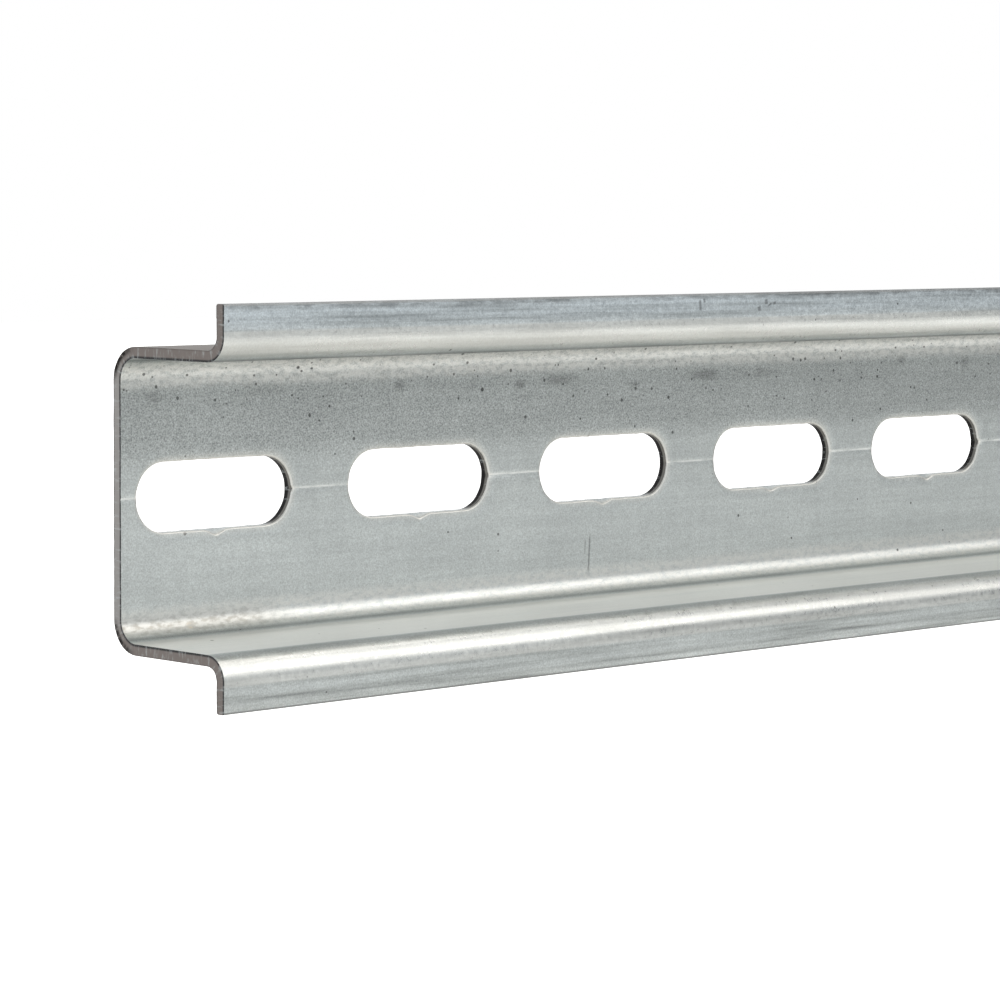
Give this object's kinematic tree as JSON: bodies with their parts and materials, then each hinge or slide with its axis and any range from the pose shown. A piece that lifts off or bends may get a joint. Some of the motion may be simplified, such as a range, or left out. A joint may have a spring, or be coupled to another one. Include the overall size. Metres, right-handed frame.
{
  "type": "din rail",
  "caption": "Deep top-hat mounting rail of thin zinc-plated steel, with turned-out lips that devices clip to and a row of round-ended slots for fixing it to a panel",
  "frame": {"origin": "on the back of the web, half way along the rail and half way between the two lips", "axes": "X runs along the rail, -Y looks out of the open side from the web to the lips, +Y points into the panel behind, Z runs across the rail and is up when the rail is fixed level"},
  "size_m": [0.25, 0.015, 0.035],
  "materials": {
    "zinc_plate": "zinc plated, dull, with fine lengthwise rolling marks"
  },
  "bodies": {
    "root": {"rail": "zinc_plate"}
  },
  "joints": []
}
